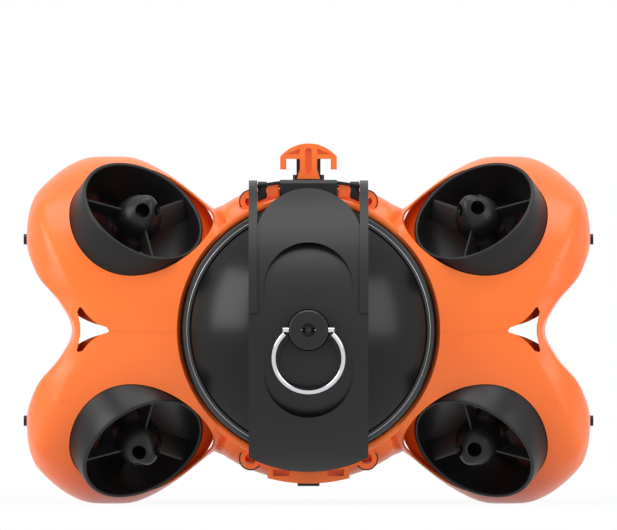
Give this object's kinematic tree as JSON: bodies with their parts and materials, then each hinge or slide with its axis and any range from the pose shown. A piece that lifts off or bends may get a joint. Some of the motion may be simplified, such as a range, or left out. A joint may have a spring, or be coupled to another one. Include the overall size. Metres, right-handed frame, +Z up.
{
  "type": "underwater inspection rov",
  "caption": "Compact underwater inspection vehicle: lobed orange shell round a sealed hull, vectored ducted thrusters, and a latched battery cap.",
  "frame": {"origin": "on the floor, under the middle of the vehicle", "axes": "+Z up, +Y towards the camera end, +X to the right as seen from the battery end"},
  "size_m": [0.27, 0.376, 0.1707],
  "materials": {
    "orange_shell": "satin moulded",
    "hull_aluminium": "hard anodised",
    "black_plastic": "satin moulded",
    "gloss_black": "gloss",
    "seal_rubber": "matt",
    "battery_wrap": "shrink wrap",
    "board": "solder mask",
    "steel": "satin",
    "chrome_wire": "polished",
    "clear_window": "polished",
    "lens_glass": "coated",
    "light_glass": "frosted",
    "propeller_plastic": "satin"
  },
  "bodies": {
    "root": {"rear_shell": "orange_shell", "front_shell": "orange_shell", "top_bracket": "orange_shell", "bottom_bracket": "orange_shell", "tether_hook": "orange_shell", "hull_tube": "hull_aluminium", "rear_collar": "black_plastic", "battery_cap": "gloss_black", "cap_seals": "seal_rubber", "battery_pack": "battery_wrap", "electronics_tray": "hull_aluminium", "circuit_boards": "board", "hinge_bar": "steel", "latch_block": "black_plastic", "hinge_links": "black_plastic", "bottom_pad": "seal_rubber", "tether_stem": "black_plastic", "front_bezel": "black_plastic", "bezel_screws": "steel", "window_dome": "clear_window", "camera_mount": "black_plastic", "camera_lens": "lens_glass", "light_housings": "black_plastic", "light_lenses": "light_glass", "side_studs": "black_plastic", "duct_rear_left_upper": "black_plastic", "guard_rear_left_upper": "black_plastic", "motor_rear_left_upper": "steel", "duct_rear_left_lower": "black_plastic", "guard_rear_left_lower": "black_plastic", "motor_rear_left_lower": "steel", "duct_rear_right_upper": "black_plastic", "guard_rear_right_upper": "black_plastic", "motor_rear_right_upper": "steel", "duct_rear_right_lower": "black_plastic", "guard_rear_right_lower": "black_plastic", "motor_rear_right_lower": "steel", "duct_front_left_upper": "black_plastic", "guard_front_left_upper": "black_plastic", "motor_front_left_upper": "steel", "duct_front_left_lower": "black_plastic", "guard_front_left_lower": "black_plastic", "motor_front_left_lower": "steel", "duct_front_right_upper": "black_plastic", "guard_front_right_upper": "black_plastic", "motor_front_right_upper": "steel", "duct_front_right_lower": "black_plastic", "guard_front_right_lower": "black_plastic", "motor_front_right_lower": "steel"},
    "latch_band": {"latch_band": "black_plastic"},
    "pull_knob": {"pull_knob": "black_plastic"},
    "pull_ring": {"pull_ring": "chrome_wire"},
    "propeller_rear_left_upper": {"propeller_rear_left_upper": "propeller_plastic"},
    "propeller_rear_left_lower": {"propeller_rear_left_lower": "propeller_plastic"},
    "propeller_rear_right_upper": {"propeller_rear_right_upper": "propeller_plastic"},
    "propeller_rear_right_lower": {"propeller_rear_right_lower": "propeller_plastic"},
    "propeller_front_left_upper": {"propeller_front_left_upper": "propeller_plastic"},
    "propeller_front_left_lower": {"propeller_front_left_lower": "propeller_plastic"},
    "propeller_front_right_upper": {"propeller_front_right_upper": "propeller_plastic"},
    "propeller_front_right_lower": {"propeller_front_right_lower": "propeller_plastic"}
  },
  "joints": [
    {"name": "latch_band_swing", "type": "hinge", "parent": "root", "child": "latch_band", "pos_m": [0, -0.126, 0.1508], "axis": [-1, 0, 0], "range_deg": [0, 100]},
    {"name": "pull_knob_slide", "type": "slide", "parent": "latch_band", "child": "pull_knob", "axis": [0, -1, 0], "range_m": [0, 0.004], "stiffness_N_per_m": 900, "springref_m": -0.003},
    {"name": "pull_ring_fold", "type": "hinge", "parent": "pull_knob", "child": "pull_ring", "pos_m": [0, -0.1842, 0.0824], "axis": [-1, 0, 0], "range_deg": [0, 90]},
    {"name": "spin_rear_left_upper", "type": "hinge", "parent": "root", "child": "propeller_rear_left_upper", "pos_m": [-0.08947, -0.11112, 0.12027], "axis": [0.4101, -0.6252, 0.664], "continuous": true},
    {"name": "spin_rear_left_lower", "type": "hinge", "parent": "root", "child": "propeller_rear_left_lower", "pos_m": [-0.08947, -0.11112, 0.04453], "axis": [0.4101, -0.6252, -0.664], "continuous": true},
    {"name": "spin_rear_right_upper", "type": "hinge", "parent": "root", "child": "propeller_rear_right_upper", "pos_m": [0.08947, -0.11112, 0.12027], "axis": [-0.4101, -0.6252, 0.664], "continuous": true},
    {"name": "spin_rear_right_lower", "type": "hinge", "parent": "root", "child": "propeller_rear_right_lower", "pos_m": [0.08947, -0.11112, 0.04453], "axis": [-0.4101, -0.6252, -0.664], "continuous": true},
    {"name": "spin_front_left_upper", "type": "hinge", "parent": "root", "child": "propeller_front_left_upper", "pos_m": [-0.08947, 0.11112, 0.12027], "axis": [0.4101, 0.6252, 0.664], "continuous": true},
    {"name": "spin_front_left_lower", "type": "hinge", "parent": "root", "child": "propeller_front_left_lower", "pos_m": [-0.08947, 0.11112, 0.04453], "axis": [0.4101, 0.6252, -0.664], "continuous": true},
    {"name": "spin_front_right_upper", "type": "hinge", "parent": "root", "child": "propeller_front_right_upper", "pos_m": [0.08947, 0.11112, 0.12027], "axis": [-0.4101, 0.6252, 0.664], "continuous": true},
    {"name": "spin_front_right_lower", "type": "hinge", "parent": "root", "child": "propeller_front_right_lower", "pos_m": [0.08947, 0.11112, 0.04453], "axis": [-0.4101, 0.6252, -0.664], "continuous": true}
  ]
}
